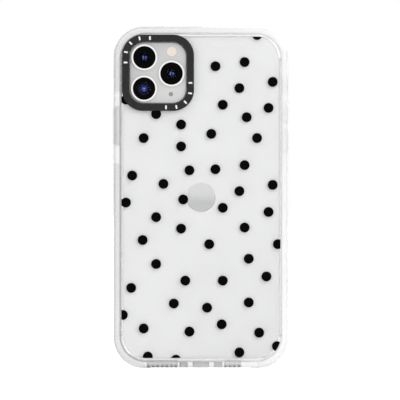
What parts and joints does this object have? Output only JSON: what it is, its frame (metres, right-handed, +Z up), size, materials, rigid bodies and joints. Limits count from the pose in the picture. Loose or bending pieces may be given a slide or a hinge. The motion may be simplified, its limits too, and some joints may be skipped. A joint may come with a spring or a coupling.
{
  "type": "smartphone in a clear bumper case",
  "caption": "Upright slab phone with a rear camera cluster, inside a clear bumper case with a raised black camera ring and printed black dots.",
  "frame": {"origin": "middle of the case's bottom end: Z = 0 is where it stands, X = 0 the middle of its width, Y = 0 the middle of its whole depth with the camera ring", "axes": "+Z up along the phone towards the cameras, +X to the right seen from the back, +Y out of the display, so the back and the cameras face -Y"},
  "size_m": [0.0848, 0.0124, 0.1642],
  "materials": {
    "clear_band": "clear, soft and slightly cloudy",
    "clear_plate": "clear and polished",
    "ring_black": "satin black",
    "mark_white": "printed",
    "print_black": "printed",
    "band_steel": "polished stainless steel",
    "antenna_plastic": "satin",
    "back_glass": "frosted silver, glossy plateau",
    "emblem_polish": "polished",
    "trim_steel": "polished",
    "lens_glass": "coated",
    "barrel_black": "satin black",
    "coated_element": "blue and violet coating",
    "module_metal": "satin",
    "flash_cream": "diffusing",
    "led_yellow": "phosphor",
    "mesh_grey": "fine mesh",
    "display_glass": "polished black",
    "panel_black": "black",
    "gasket_rubber": "matte",
    "inner_aluminium": "satin",
    "cell_black": "wrapped cell",
    "board_green": "solder mask",
    "can_steel": "satin",
    "coil_copper": "lacquered copper",
    "ferrite_dark": "matte sheet",
    "speaker_black": "satin black",
    "weight_metal": "satin",
    "port_metal": "satin",
    "contact_gold": "plated",
    "screw_steel": "satin",
    "switch_accent": "satin silver"
  },
  "bodies": {
    "phone_in_case": {"case_bumper": "clear_band", "case_back_plate": "clear_plate", "camera_ring": "ring_black", "camera_ring_marks": "mark_white", "printed_dots": "print_black", "steel_band": "band_steel", "antenna_lines": "antenna_plastic", "mid_plate": "inner_aluminium", "back_glass": "back_glass", "emblem_disc": "emblem_polish", "rear_microphone_mesh": "mesh_grey", "flash_window": "flash_cream", "flash_led": "led_yellow", "flash_board": "board_green", "display_glass": "display_glass", "earpiece_mesh": "mesh_grey", "display_gasket": "gasket_rubber", "display_panel": "panel_black", "earpiece_speaker": "speaker_black", "front_camera": "barrel_black", "battery_lower_cell": "cell_black", "battery_upper_cell": "cell_black", "logic_board": "board_green", "board_shields": "can_steel", "board_screws": "screw_steel", "charging_coil": "coil_copper", "coil_ferrite": "ferrite_dark", "loudspeaker": "speaker_black", "haptic_housing": "can_steel", "charging_port_shell": "port_metal", "charging_port_contacts": "contact_gold", "end_screws": "screw_steel", "hole_meshes": "mesh_grey", "button_contacts": "contact_gold", "silent_switch_base": "speaker_black", "sim_tray": "band_steel", "wide_lens_trim": "trim_steel", "wide_lens_cover": "lens_glass", "wide_camera_module": "module_metal", "ultra_wide_lens_trim": "trim_steel", "ultra_wide_lens_cover": "lens_glass", "ultra_wide_camera_module": "module_metal", "ultra_wide_lens_barrel": "barrel_black", "ultra_wide_front_element": "coated_element", "telephoto_lens_trim": "trim_steel", "telephoto_lens_cover": "lens_glass", "telephoto_camera_module": "module_metal"},
    "power_press": {"power_button_cover": "clear_band", "power_button": "band_steel"},
    "volume_up_press": {"volume_up_button_cover": "clear_band", "volume_up_button": "band_steel"},
    "volume_down_press": {"volume_down_button_cover": "clear_band", "volume_down_button": "band_steel"},
    "silent_lever": {"silent_switch": "switch_accent"},
    "vibration_weight": {"haptic_mass": "weight_metal"},
    "wide_focus": {"wide_lens_barrel": "barrel_black", "wide_front_element": "coated_element"},
    "telephoto_focus": {"telephoto_lens_barrel": "barrel_black", "telephoto_front_element": "coated_element"}
  },
  "joints": [
    {"name": "power_button_press", "type": "slide", "parent": "phone_in_case", "child": "power_press", "axis": [1, 0, 0], "range_m": [0, 0.0003], "stiffness_N_per_m": 400},
    {"name": "volume_up_press", "type": "slide", "parent": "phone_in_case", "child": "volume_up_press", "axis": [-1, 0, 0], "range_m": [0, 0.0003], "stiffness_N_per_m": 400},
    {"name": "volume_down_press", "type": "slide", "parent": "phone_in_case", "child": "volume_down_press", "axis": [-1, 0, 0], "range_m": [0, 0.0003], "stiffness_N_per_m": 400},
    {"name": "silent_switch_slide", "type": "slide", "parent": "phone_in_case", "child": "silent_lever", "axis": [0, 1, 0], "range_m": [0, 0.0009]},
    {"name": "vibration_weight_slide", "type": "slide", "parent": "phone_in_case", "child": "vibration_weight", "axis": [1, 0, 0], "range_m": [-0.001, 0.001], "stiffness_N_per_m": 200},
    {"name": "wide_focus_travel", "type": "slide", "parent": "phone_in_case", "child": "wide_focus", "axis": [0, -1, 0], "range_m": [0, 0.00025], "stiffness_N_per_m": 100},
    {"name": "telephoto_focus_travel", "type": "slide", "parent": "phone_in_case", "child": "telephoto_focus", "axis": [0, -1, 0], "range_m": [0, 0.00025], "stiffness_N_per_m": 100}
  ]
}
